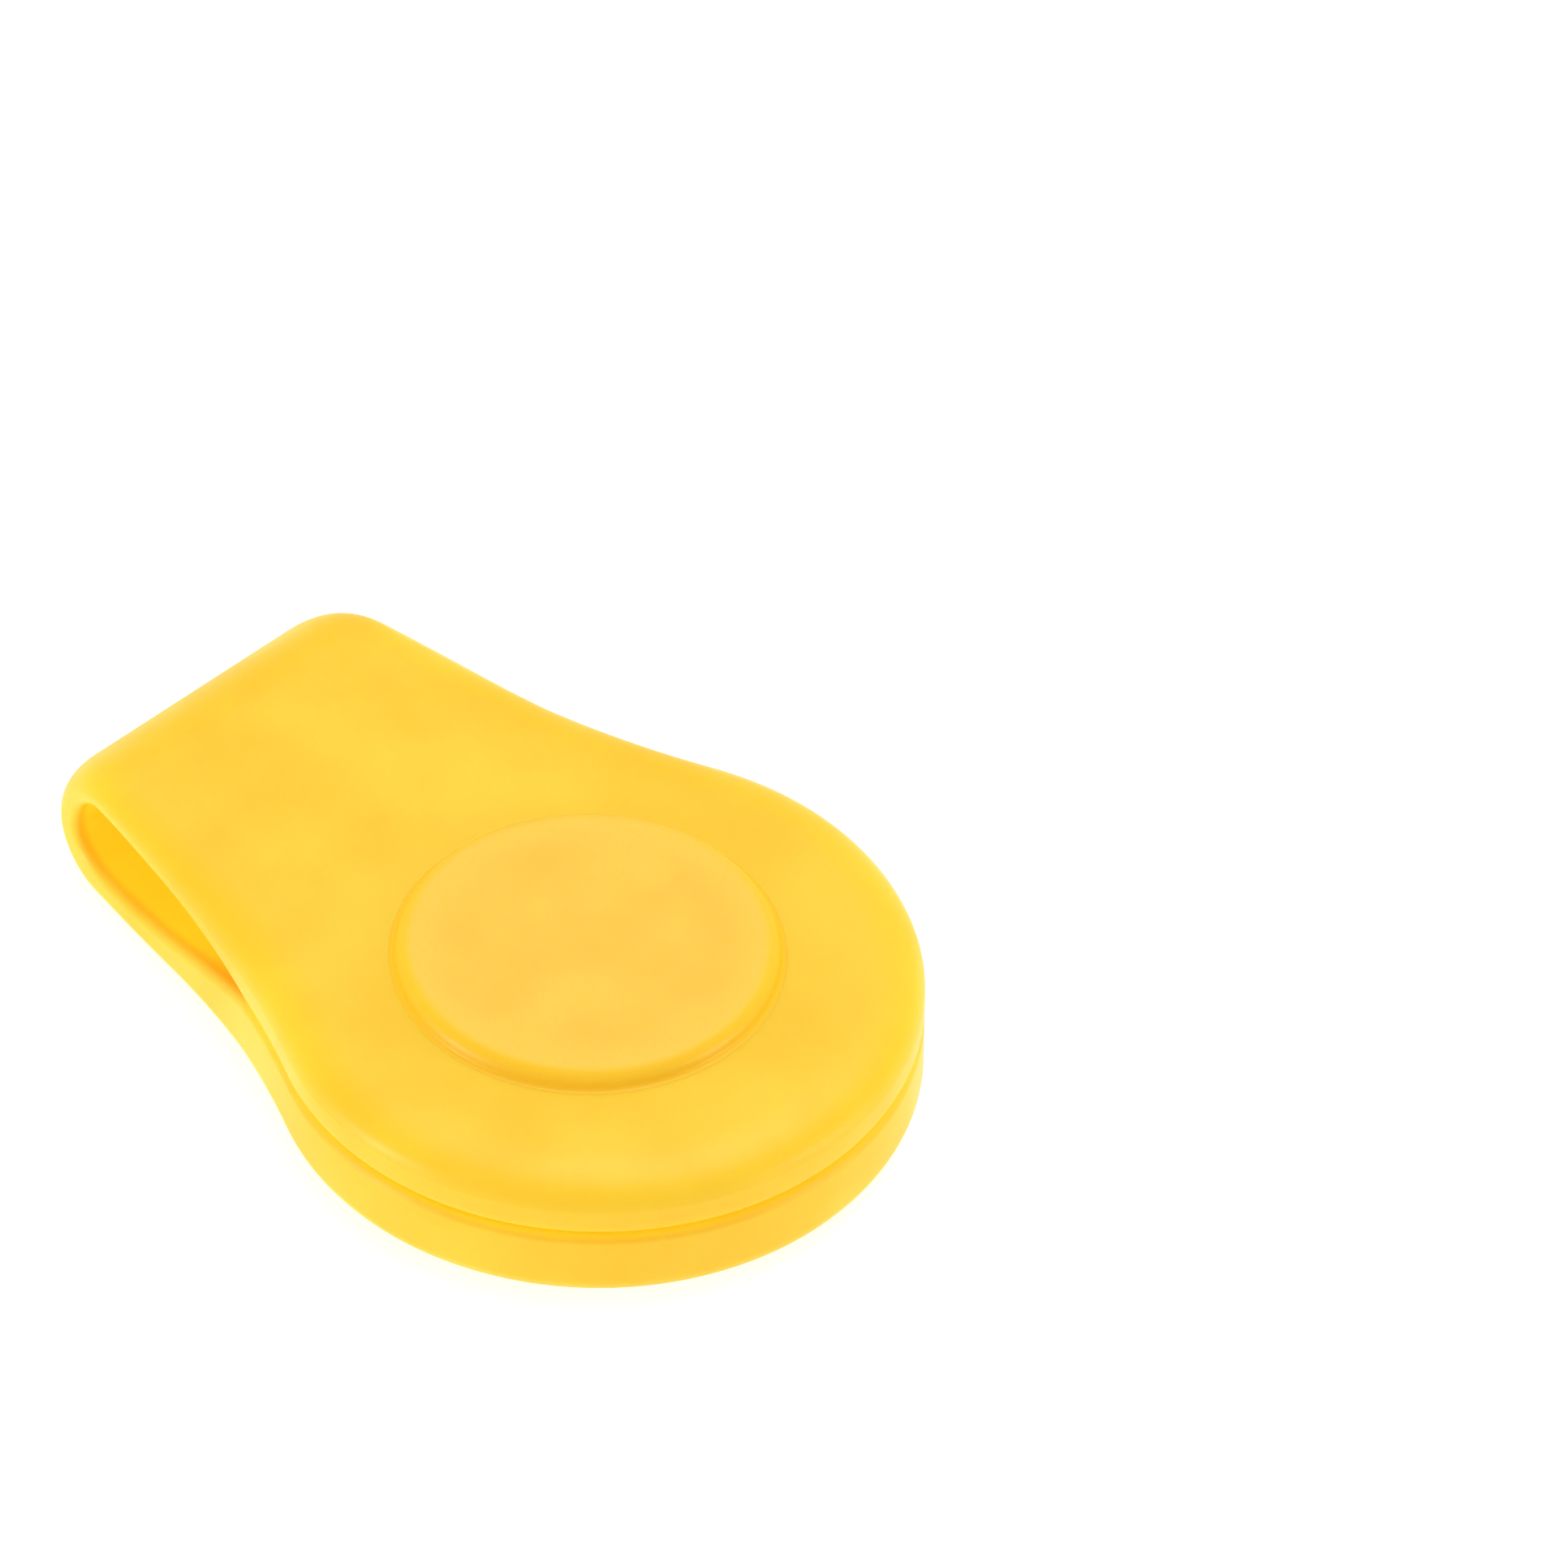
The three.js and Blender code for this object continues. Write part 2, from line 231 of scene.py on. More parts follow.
class Outline:
    """Plan outline of one half: a flaring strap, a hollow neck and a round head.
    u runs from the fold's apex to the tip, and w is the distance from the middle line."""

    def __init__(self, shape):
        self.flare = shape.strap_flare
        self.half_width = shape.strap_half_width
        self.neck_radius = shape.neck_radius
        slope = math.hypot(1, self.flare)
        rise = self.half_width + self.neck_radius * slope
        b = 2 * (self.flare * rise - HEAD_U)
        c = HEAD_U**2 + rise**2 - (HEAD_RADIUS + self.neck_radius) ** 2
        neck_u = (-b - math.sqrt(b * b - 4 * slope**2 * c)) / (2 * slope**2)
        self.neck = np.array([neck_u, rise + self.flare * neck_u])
        self.flare_end = neck_u + self.neck_radius * self.flare / slope
        self.strap_normal = np.array([-self.flare, 1.0]) / slope

    def width(self, u):
        return self.half_width + self.flare * u

    def strap_place(self, u, start, end):
        """A point on the strap's edge with its normal, which turns from square to the strap at
        start to the edge's own at end."""
        turned = smooth_step((u - start) / (end - start))
        normal = np.array([self.strap_normal[0] * turned, 1.0])
        return np.array([u, self.width(u)]), normal

    def head_path(self, start, steps):
        """Places and normals from u = start on the strap's edge to the tip."""
        head = np.array([HEAD_U, 0.0])
        to_neck = math.atan2(self.neck[1], self.neck[0] - HEAD_U)
        strap_angle = math.atan2(1.0, self.flare)
        neck_angle = math.pi - to_neck
        lengths = np.array([
            self.flare_end - start,
            self.neck_radius * (strap_angle - neck_angle),
            HEAD_RADIUS * to_neck,
        ])
        counts = np.maximum(2, np.round(steps * lengths / lengths.sum()).astype(int))
        path = []
        for i in range(counts[0]):
            u = start + (self.flare_end - start) * i / counts[0]
            path.append((np.array([u, self.width(u)]), self.strap_normal / self.strap_normal[1]))
        for i in range(counts[1]):
            angle = strap_angle + (neck_angle - strap_angle) * i / counts[1]
            normal = np.array([-math.cos(angle), math.sin(angle)])
            path.append((self.neck - normal * self.neck_radius, normal))
        for i in range(counts[2] + 1):
            angle = to_neck * (1 - i / counts[2])
            normal = np.array([math.cos(angle), math.sin(angle)])
            path.append((head + normal * HEAD_RADIUS, normal))
        return path


class Profile:
    """Side profile of one half, in heights from the middle of the clip's thickness."""

    def __init__(self, shape, side):
        self.grip = GRIP_GAP + side * GRIP_RISE
        self.reach = shape.upper_reach if side > 0 else shape.lower_reach
        self.apex = -side * shape.fold_drop
        self.wall = shape.fold_wall
        self.loop = shape.loop_half_height
        self.crest = shape.loop_crest
        self.loop_end = shape.loop_end
        self.taper = shape.loop_taper

    def inner_height(self, u):
        part = np.clip((u - self.crest) / (self.loop_end - self.crest), 0, 1)
        fall = (1 - part) ** self.taper * (1 + self.taper * part)
        return self.grip + (self.loop - self.grip) * fall

    def fold(self, angle):
        """Inner and outer point of the fold's section at an angle from its apex."""
        side, up = math.cos(angle), math.sin(angle)
        inner_u = self.crest - (self.crest - self.wall) * side
        inner = np.array([inner_u, self.apex + (self.loop - self.apex) * up])
        outer = np.array([self.reach * (1 - side), self.apex + (MIDDLE_Z - self.apex) * up])
        return inner, outer

    def fold_length(self, angle):
        """Length of the fold's middle surface from its apex to an angle."""
        angles = np.linspace(0, angle, 60)
        middle = np.array([sum(self.fold(a)) / 2 for a in angles])
        return float(np.linalg.norm(np.diff(middle, axis=0), axis=1).sum())


def lerp(a, b, part):
    return a + (b - a) * part


def smooth_step(part):
    part = min(max(part, 0.0), 1.0)
    return part * part * (3 - 2 * part)


def edge_stops(shape):
    """Stops round one edge, from the outer face to the inner face: inset from the outline, share
    of the rounding's depth below its own face, and True on the outer side."""
    outer = []
    inner = []
    for turn in EDGE_TURNS:
        outer.append((shape.outer_inset * (1 - math.cos(turn)), 1 - math.sin(turn), True))
        inner.append((shape.inner_inset * (1 - math.cos(turn)), 1 - math.sin(turn), False))
    return [*reversed(outer), *inner[1:]]


# ---- The silicone moulding --------------------------------------------------------------------

class Moulding:
    """Collects the moulding's points, each with its place along the unfolded strap, and faces."""

    def __init__(self):
        self.points = []
        self.along = []
        self.faces = []

    def row(self, points, along):
        first = len(self.points)
        self.points.extend(points)
        self.along.extend(along)
        return list(range(first, len(self.points)))

    def bridge(self, row_a, row_b, closed):
        count = len(row_a)
        for i in range(count if closed else count - 1):
            k = (i + 1) % count
            self.faces.append((row_a[i], row_a[k], row_b[k], row_b[i]))

    def fan(self, ring, point, along):
        centre = self.row([point], [along])[0]
        for i, corner in enumerate(ring):
            self.faces.append((corner, ring[(i + 1) % len(ring)], centre))


class HalfBuilder:
    """Places points of one half: side is 1 for the upper half and -1 for the lower."""

    def __init__(self, shape, side):
        self.shape = shape
        self.side = side
        self.outline = Outline(shape)
        self.profile = Profile(shape, side)
        self.stops = edge_stops(shape)
        self.fold_run = self.profile.fold_length(math.pi / 2)
        self.head_start = lerp(self.profile.reach, self.outline.flare_end,
                               HEAD_START_SHARE)

    def world(self, u, y, height):
        return (FOLD_X + u, y, MIDDLE_Z + self.side * height)

    def along(self, u):
        """Signed distance along the unfolded strap, from the fold's apex."""
        return self.side * (self.fold_run + u - self.profile.reach)

    def edge_depths(self, wall, lean):
        """Depths of the outer and inner rounding. In a thin wall both shrink until they meet. The
        lean is 1 in the upper strap and -1 in the lower one, and changes slowly round the fold."""
        part = lerp(self.shape.lower_share, self.shape.upper_share, (1 + lean) / 2)
        outer = min(self.shape.outer_depth, part * wall)
        return outer, min(self.shape.inner_depth, EDGES_SHARE * wall - outer)

    def share_outward(self, stop, wall, depths):
        """How far from the inner face to the outer face a stop lies, from 0 to 1."""
        _, part, is_outer = stop
        outer, inner = depths
        return 1 - outer * part / wall if is_outer else inner * part / wall

    def inset(self, stop, depths):
        """How far a stop lies in from the outline. A parting ridge stands proud where the
        moulding is widest, and both roundings are narrower where the wall is thin."""
        size, part, is_outer = stop
        outer, inner = depths
        depth = outer if is_outer else inner
        full = self.shape.outer_depth if is_outer else self.shape.inner_depth
        away = (1 - part) * depth
        ridge = self.shape.ridge_height * math.exp(-((away / self.shape.ridge_width) ** 2))
        return size * math.sqrt(depth / full) - ridge

    def fold_column(self, angle):
        """Points round the edge of a section across the fold, from its outer to its inner face."""
        inner, outer = self.profile.fold(angle)
        wall = float(np.linalg.norm(outer - inner))
        depths = self.edge_depths(wall, self.side * math.sin(angle))
        column = []
        for stop in self.stops:
            u, height = inner + (outer - inner) * self.share_outward(stop, wall, depths)
            column.append((u, self.outline.width(u) - self.inset(stop, depths), height))
        return column

    def flat_column(self, place, normal, skew=0.0):
        """Points round the edge at a place on the outline, from the outer to the inner face.
        The skew is how far the section's inner end lies past its outer end."""
        wall = MIDDLE_Z - float(self.profile.inner_height(place[0] + skew))
        depths = self.edge_depths(wall, self.side)
        column = []
        for stop in self.stops:
            outward = self.share_outward(stop, wall, depths)
            shift = skew * (1 - outward)
            start = place + shift * np.array([1.0, self.outline.flare])
            u, width = start - normal * self.inset(stop, depths)
            low = float(self.profile.inner_height(u + skew - shift))
            column.append((u, width, low + (MIDDLE_Z - low) * outward))
        return column


def across(edge_point):
    """Points straight across the strap, from an edge point on +Y to its mirror image."""
    u, width, height = edge_point
    return [(u, width * (1 - 2 * i / ACROSS_STEPS), height) for i in range(ACROSS_STEPS + 1)]


def strap_loop(column):
    """A closed loop round the strap: over the outer face, then back along the inner face."""
    top = across(column[0])
    left = [(u, -y, z) for u, y, z in column[1:-1]]
    bottom = across(column[-1])[::-1]
    right = column[1:-1][::-1]
    return [*top, *left, *bottom, *right]


def strap_rows(moulding, half, apex_row):
    """Rows of points round the strap, from the fold's apex to where the head starts."""
    shape, profile = half.shape, half.profile
    sections = []
    for i in range(FOLD_STEPS + 1):
        angle = math.pi / 2 * i / FOLD_STEPS
        sections.append((profile.fold_length(angle), half.fold_column(angle)))
    for i in range(1, shape.strap_steps + 1):
        left_over = 1 - i / shape.strap_steps
        u = lerp(half.head_start, profile.reach, left_over)
        place, normal = half.outline.strap_place(u, profile.reach, half.head_start)
        column = half.flat_column(place, normal, (profile.crest - profile.reach) * left_over)
        sections.append((half.fold_run + u - profile.reach, column))
    rows = [apex_row] if apex_row else []
    for run, column in sections[len(rows):]:
        loop = [half.world(*point) for point in strap_loop(column)]
        rows.append(moulding.row(loop, [half.side * run] * len(loop)))
    return rows


def build_moulding(shape, pad):
    """The whole moulding as one closed skin: lower paddle, strap, fold and upper paddle."""
    moulding = Moulding()
    apex_row = None
    for side in (-1, 1):
        half = HalfBuilder(shape, side)
        rows = strap_rows(moulding, half, apex_row)
        apex_row = rows[0]
        for row_a, row_b in zip(rows, rows[1:]):
            moulding.bridge(row_a, row_b, True)
        add_head(moulding, half, rows[-1], pad)
    return moulding


def add_head(moulding, half, last, pad):
    """The round paddle past the strap: its edge, its outer face and its inner face."""
    stop_count = len(half.stops)
    top = last[: ACROSS_STEPS + 1]
    left = last[ACROSS_STEPS + 1 : ACROSS_STEPS + stop_count - 1]
    bottom_start = ACROSS_STEPS + stop_count - 1
    bottom = last[bottom_start : bottom_start + ACROSS_STEPS + 1]
    right = last[bottom_start + ACROSS_STEPS + 1 :]
    plus_column = [top[0], *reversed(right), bottom[-1]]
    minus_column = [top[-1], *left, bottom[0]]
    columns = [plus_column]
    path = half.outline.head_path(half.head_start, half.shape.head_steps)[1:]
    sides = [(place, normal, 1) for place, normal in path]
    sides += [(place, normal, -1) for place, normal in path[-2::-1]]
    for place, normal, mirror in sides:
        column = half.flat_column(place, normal)
        points = [half.world(u, mirror * y, height) for u, y, height in column]
        columns.append(moulding.row(points, [half.along(u) for u, _, _ in column]))
    columns.append(minus_column)
    for a, b in zip(columns, columns[1:]):
        moulding.bridge(a, b, False)
    outer_ring = [*reversed(top), *(c[0] for c in columns[1:-1])]
    inner_ring = [*bottom, *(c[-1] for c in columns[1:-1])]
    if half.side > 0:
        mouth = PAD_RADIUS + pad.bond
        floor = PAD_LOW.z - pad.bond - MIDDLE_Z
        add_pocket(moulding, half, outer_ring, outer_face, mouth, pad.lip, floor)
        add_plain_face(moulding, half, inner_ring, half.profile.inner_height)
    else:
        mouth = COVER_RADIUS + pad.bond
        floor = MIDDLE_Z - COVER_LOW.z + pad.bond
        add_plain_face(moulding, half, outer_ring, outer_face)
        add_pocket(moulding, half, inner_ring, half.profile.inner_height, mouth, pad.lip, floor)


def outer_face(u):
    """Height of the flat outer face, wherever it is asked for."""
    return np.full_like(u, MIDDLE_Z)


def face_rings(moulding, half, ring, height_at, radius, ring_count):
    """Rings that pass from a face's outline to a circle about the pad's axis."""
    outline = np.array([moulding.points[i] for i in ring])
    plan = outline[:, :2] - np.array([FOLD_X + PAD_U, 0.0])
    angles = np.arctan2(plan[:, 1], plan[:, 0])
    circle = radius * np.column_stack([np.cos(angles), np.sin(angles)])
    rows = [ring]
    for i in range(1, ring_count + 1):
        part = i / ring_count
        flat = plan + (circle - plan) * part
        u = flat[:, 0] + PAD_U
        heights = height_at(u)
        points = [half.world(a, y, z) for a, y, z in zip(u, flat[:, 1], heights)]
        rows.append(moulding.row(points, [half.along(a) for a in u]))
        moulding.bridge(rows[-2], rows[-1], True)
    return rows[-1], angles


def add_turned_ring(moulding, half, ring, angles, radius, height):
    u = PAD_U + radius * np.cos(angles)
    y = radius * np.sin(angles)
    points = [half.world(a, b, height) for a, b in zip(u, y)]
    made = moulding.row(points, [half.along(a) for a in u])
    moulding.bridge(ring, made, True)
    return made


def add_plain_face(moulding, half, ring, height_at):
    core = CORE_SHARE * HEAD_RADIUS
    ring, _ = face_rings(moulding, half, ring, height_at, core, PLAIN_RINGS)
    centre = half.world(PAD_U, 0.0, float(height_at(np.array([PAD_U]))[0]))
    moulding.fan(ring, centre, half.along(PAD_U))


def add_pocket(moulding, half, ring, height_at, mouth, lip, floor):
    """A face with a round pocket, which has a rounded mouth, a straight wall and a flat floor."""
    ring, angles = face_rings(moulding, half, ring, height_at, mouth + lip, POCKET_RINGS)
    face = float(height_at(np.array([PAD_U]))[0])
    inward = math.copysign(1, floor - face)
    for i in range(1, 5):
        turn = math.pi / 2 * i / 4
        radius = mouth + lip * (1 - math.sin(turn))
        rim = face + inward * lip * (1 - math.cos(turn))
        ring = add_turned_ring(moulding, half, ring, angles, radius, rim)
    for part in POCKET_WALL:
        height = rim + (floor - rim) * part
        ring = add_turned_ring(moulding, half, ring, angles, mouth, height)
    for part in POCKET_FLOOR:
        ring = add_turned_ring(moulding, half, ring, angles, mouth * part, floor)
    moulding.fan(ring, half.world(PAD_U, 0.0, floor), half.along(PAD_U))


def new_object(name, points, faces, material):
    """A smooth mesh object with its faces pointing out."""
    mesh = bpy.data.meshes.new(name)
    mesh.from_pydata([tuple(map(float, p)) for p in points], [], faces)
    work = bmesh.new()
    work.from_mesh(mesh)
    bmesh.ops.recalc_face_normals(work, faces=work.faces)
    work.to_mesh(mesh)
    work.free()
    mesh.shade_smooth()
    mesh.materials.append(material)
    made = bpy.data.objects.new(name, mesh)
    bpy.context.scene.collection.objects.link(made)
    return made


def keep_rest_places(piece):
    """Stores where each point lies when the clip is closed, so that patterns bend with it."""
    mesh = piece.data
    places = np.empty(len(mesh.vertices) * 3, np.float32)
    mesh.vertices.foreach_get("co", places)
    attribute = mesh.attributes.new("rest_place", "FLOAT_VECTOR", "POINT")
    attribute.data.foreach_set("vector", places)


def turned_piece(name, profile, centre, material):
    """A closed piece turned about a vertical axis, from a profile that starts and ends on it."""
    points = [(centre.x, centre.y, profile[0][1])]
    faces = []
    rings = []
    for radius, height in profile[1:-1]:
        first = len(points)
        for i in range(ROUND_STEPS):
            angle = 2 * math.pi * i / ROUND_STEPS
            points.append((centre.x + radius * math.cos(angle),
                           centre.y + radius * math.sin(angle), height))
        rings.append(range(first, first + ROUND_STEPS))
    points.append((centre.x, centre.y, profile[-1][1]))
    for i in range(ROUND_STEPS):
        k = (i + 1) % ROUND_STEPS
        faces.append((0, rings[0][i], rings[0][k]))
        faces.append((rings[-1][i], len(points) - 1, rings[-1][k]))
        for a, b in zip(rings, rings[1:]):
            faces.append((a[i], b[i], b[k], a[k]))
    return new_object(name, points, faces, material)


def rounded_corner(radius, height, size, steps, start, end):
    """Points of a rounded corner about (radius, height), from one angle to another."""
    turns = np.linspace(math.radians(start), math.radians(end), steps + 1)
    return [(radius + size * math.cos(t), height + size * math.sin(t)) for t in turns]


# ---- Shader parts that the materials share ----------------------------------------------------

class Tree:
    """Short calls for making and joining shader nodes."""

    def __init__(self, tree):
        self.tree = tree

    def node(self, kind, inputs=None, **settings):
        made = self.tree.nodes.new(kind)
        for key, value in settings.items():
            setattr(made, key, value)
        for key, value in (inputs or {}).items():
            self.put(made.inputs[key], value)
        return made

    def put(self, socket, value):
        if isinstance(value, bpy.types.NodeSocket):
            self.tree.links.new(value, socket)
        elif isinstance(value, bpy.types.Node):
            self.tree.links.new(value.outputs[0], socket)
        else:
            socket.default_value = value

    def maths(self, operation, a, b=0.0):
        return self.node("ShaderNodeMath", {0: a, 1: b}, operation=operation).outputs[0]

    def blend(self, part, a, b):
        """Mixes two colours by a share."""
        made = self.node("ShaderNodeMix", data_type="RGBA")
        self.put(made.inputs["Factor"], part)
        self.put(made.inputs[6], a)
        self.put(made.inputs[7], b)
        return made.outputs[2]

    def ramp(self, value, low, high, from_value=0.0, to_value=1.0):
        """Eases from one value to another as the input goes from low to high."""
        inputs = {"Value": value, "From Min": low, "From Max": high,
                  "To Min": from_value, "To Max": to_value}
        return self.node("ShaderNodeMapRange", inputs, interpolation_type="SMOOTHSTEP").outputs[0]


def new_group(name, inputs, outputs):
    """A shader node group with named sockets: {name: (kind, default)} in, {name: kind} out."""
    group = bpy.data.node_groups.new(name, "ShaderNodeTree")
    for key, (kind, default) in inputs.items():
        socket = group.interface.new_socket(key, in_out="INPUT", socket_type=f"NodeSocket{kind}")
        socket.default_value = default
    for key, kind in outputs.items():
        group.interface.new_socket(key, in_out="OUTPUT", socket_type=f"NodeSocket{kind}")
    tree = Tree(group)
    return group, tree, tree.node("NodeGroupInput"), tree.node("NodeGroupOutput")


def mould_grain_group():
    """The fine matt grain that a blasted mould leaves."""
    inputs = {"Place": ("Vector", (0, 0, 0)), "Grain size": ("Float", 0.3 * MM)}
    group, tree, into, out = new_group("mould_grain", inputs, {"Height": "Float"})
    scale = tree.maths("DIVIDE", 1.0, into.outputs["Grain size"])
    fine = tree.node("ShaderNodeTexNoise", {"Vector": into.outputs["Place"], "Scale": scale,
                                            "Detail": 3.0, "Roughness": 0.6})
    tree.put(out.inputs["Height"], fine.outputs[0])
    return group


def cloudiness_group():
    """Slow drifts of colour inside the silicone."""
    inputs = {"Place": ("Vector", (0, 0, 0)), "Size": ("Float", 9 * MM),
              "Clear": ("Color", (1, 1, 1, 1)), "Cloudy": ("Color", (1, 1, 1, 1))}
    group, tree, into, out = new_group("cloudiness", inputs, {"Colour": "Color", "Cloud": "Float"})
    scale = tree.maths("DIVIDE", 1.0, into.outputs["Size"])
    cloud = tree.node("ShaderNodeTexNoise", {"Vector": into.outputs["Place"], "Scale": scale,
                                             "Detail": 2.0, "Roughness": 0.45})
    part = tree.ramp(cloud.outputs[0], 0.3, 0.7)
    colour_out = tree.blend(part, into.outputs["Clear"], into.outputs["Cloudy"])
    tree.put(out.inputs["Colour"], colour_out)
    tree.put(out.inputs["Cloud"], part)
    return group


def disc_shade_group():
    """A soft round shade about an axis: 1 inside the radius and 0 outside it."""
    inputs = {"Place": ("Vector", (0, 0, 0)), "Centre": ("Vector", (0, 0, 0)),
              "Radius": ("Float", 7.5 * MM), "Softness": ("Float", 1 * MM)}
    group, tree, into, out = new_group("disc_shade", inputs, {"Inside": "Float"})
    away = tree.node("ShaderNodeVectorMath", {0: into.outputs["Place"], 1: into.outputs["Centre"]},
                     operation="SUBTRACT")
    flat = tree.node("ShaderNodeVectorMath", {0: away, 1: (1, 1, 0)}, operation="MULTIPLY")
    distance = tree.node("ShaderNodeVectorMath", {0: flat}, operation="LENGTH").outputs["Value"]
    low = tree.maths("SUBTRACT", into.outputs["Radius"], into.outputs["Softness"])
    high = tree.maths("ADD", into.outputs["Radius"], into.outputs["Softness"])
    tree.put(out.inputs["Inside"], tree.ramp(distance, low, high, 1.0, 0.0))
    return group


def loop_glow_group():
    """Where light comes through the silicone: 1 deep in the strap's loop, less in the grip."""
    inputs = {"Place": ("Vector", (0, 0, 0)), "Half width": ("Float", 9.25 * MM),
              "Flare": ("Float", 0.176)}
    group, tree, into, out = new_group("loop_glow", inputs, {"Amount": "Float"})
    parts = tree.node("ShaderNodeSeparateXYZ", {0: into.outputs["Place"]})
    run = tree.maths("SUBTRACT", parts.outputs["X"], FOLD_X)
    from_fold = tree.ramp(run, *GLOW_START)
    to_grip = tree.ramp(run, *GLOW_END, 1.0, 0.0)
    off_middle = tree.maths("ABSOLUTE", tree.maths("SUBTRACT", parts.outputs["Z"], MIDDLE_Z))
    inside = tree.ramp(off_middle, *GLOW_HEIGHT, 1.0, 0.0)
    flared = tree.maths("MULTIPLY", run, into.outputs["Flare"])
    edge = tree.maths("ADD", into.outputs["Half width"], flared)
    from_edge = tree.maths("SUBTRACT", edge, tree.maths("ABSOLUTE", parts.outputs["Y"]))
    off_side = tree.ramp(from_edge, *GLOW_EDGE)
    in_loop = tree.maths("MULTIPLY", tree.maths("MULTIPLY", from_fold, to_grip), inside)
    in_loop = tree.maths("MULTIPLY", in_loop, off_side)
    grip_z = MIDDLE_Z + GRIP_RISE
    off_grip = tree.maths("ABSOLUTE", tree.maths("SUBTRACT", parts.outputs["Z"], grip_z))
    in_grip = tree.ramp(off_grip, *GRIP_HEIGHT, GRIP_SHARE, 0.0)
    in_grip = tree.maths("MULTIPLY", in_grip, tree.ramp(run, *GRIP_START))
    tree.put(out.inputs["Amount"], tree.maths("MAXIMUM", in_loop, in_grip))
    return group


def shared_group(name):
    """Finds a shared group, or makes it the first time it is wanted."""
    makers = {"mould_grain": mould_grain_group, "cloudiness": cloudiness_group,
              "disc_shade": disc_shade_group, "loop_glow": loop_glow_group}
    return bpy.data.node_groups.get(name) or makers[name]()


def new_material(name):
    material = bpy.data.materials.new(name)
    material.use_nodes = True
    tree = Tree(material.node_tree)
    return material, tree, material.node_tree.nodes["Principled BSDF"]


def use_group(tree, name, inputs):
    made = tree.node("ShaderNodeGroup", node_tree=shared_group(name))
    for key, value in inputs.items():
        tree.put(made.inputs[key], value)
    return made


def disc_shade(tree, place, radius, softness):
    """The shared round shade about the pad's axis."""
    return use_group(tree, "disc_shade", {
        "Place": place, "Centre": tuple(PAD_CENTRE), "Radius": radius,
        "Softness": softness}).outputs["Inside"]


def opaque(colour_value):
    return (*colour_value, 1.0)


def set_silicone(shader, finish, roughness):
    """The plain values that all silicone pieces share."""
    shader.inputs["Subsurface Weight"].default_value = finish.translucency
    shader.inputs["Subsurface Radius"].default_value = (1.0, 0.55, 0.12)
    shader.inputs["Subsurface Scale"].default_value = finish.glow_depth
    shader.inputs["IOR"].default_value = SILICONE_IOR
    shader.inputs["Roughness"].default_value = roughness


def clouded_silicone(tree, place, finish):
    """Clouded yellow, a touch deeper where a magnet stops the light: the cloud and the colour."""
    cloud = use_group(tree, "cloudiness", {
        "Place": place, "Size": 8 * MM,
        "Clear": opaque(finish.silicone), "Cloudy": opaque(finish.deep_tone_and_shade)})
    shade = disc_shade(tree, place, PAD_RADIUS + 1.4 * MM, 2.2 * MM)
    part = tree.maths("MULTIPLY", shade, 0.6)
    tone = tree.blend(part, cloud.outputs["Colour"], opaque(finish.deep_tone_and_shade))
    return cloud.outputs["Cloud"], tone


def add_mould_finish(tree, shader, place, cloud, finish):
    """The mould's fine grain, and a gloss that follows the clouds a little."""
    grain = use_group(tree, "mould_grain", {"Place": place, "Grain size": 0.35 * MM})
    bump = tree.node("ShaderNodeBump", {"Height": grain.outputs["Height"],
                                        "Strength": 0.10, "Distance": 0.02 * MM})
    rough = tree.ramp(cloud, 0.0, 1.0, finish.roughness - 0.03, finish.roughness + 0.05)
    tree.put(shader.inputs["Roughness"], rough)
    tree.put(shader.inputs["Normal"], bump)


def body_material(finish, shape):
    """The moulding's silicone, with a deeper line of painted shade at the pad's foot, which also gets
    a little painted glow, and painted light in the loop.
    """
    material, tree, shader = new_material("moulded_silicone")
    set_silicone(shader, finish, finish.roughness)
    place = tree.node("ShaderNodeAttribute", attribute_name="rest_place").outputs["Vector"]
    cloud, tone = clouded_silicone(tree, place, finish)
    # A ring on the face just round the pad's foot: painted shade in the crevice colour, with a little
    # painted glow on top.
    near_pad = disc_shade(tree, place, PAD_RADIUS + 0.3 * MM, 0.2 * MM)
    above = tree.node("ShaderNodeSeparateXYZ", {0: place}).outputs["Z"]
    on_face = tree.ramp(above, PADDLE_HIGH.z - 0.3 * MM, PADDLE_HIGH.z - 0.1 * MM)
    at_foot = tree.maths("MULTIPLY", near_pad, on_face)
    glow = use_group(tree, "loop_glow", {
        "Place": place, "Half width": shape.strap_half_width, "Flare": shape.strap_flare})
    foot_glow = tree.maths("MULTIPLY", at_foot, 0.5)
    amount = tree.maths("MAXIMUM", glow.outputs["Amount"], foot_glow)
    lit = tree.blend(amount, (0, 0, 0, 1), opaque(finish.deep_tone_and_shade))
    tree.put(shader.inputs["Base Color"], tree.blend(at_foot, tone, opaque(finish.crevice_shade)))
    tree.put(shader.inputs["Emission Color"], lit)
    shader.inputs["Emission Strength"].default_value = finish.glow
    add_mould_finish(tree, shader, place, cloud, finish)
    return material


def cover_material(finish):
    """The lower cover's silicone, as the moulding's."""
    material, tree, shader = new_material("cover_silicone")
    set_silicone(shader, finish, finish.roughness)
    place = tree.node("ShaderNodeTexCoord").outputs["Object"]
    cloud, tone = clouded_silicone(tree, place, finish)
    tree.put(shader.inputs["Base Color"], tone)
    add_mould_finish(tree, shader, place, cloud, finish)
    return material


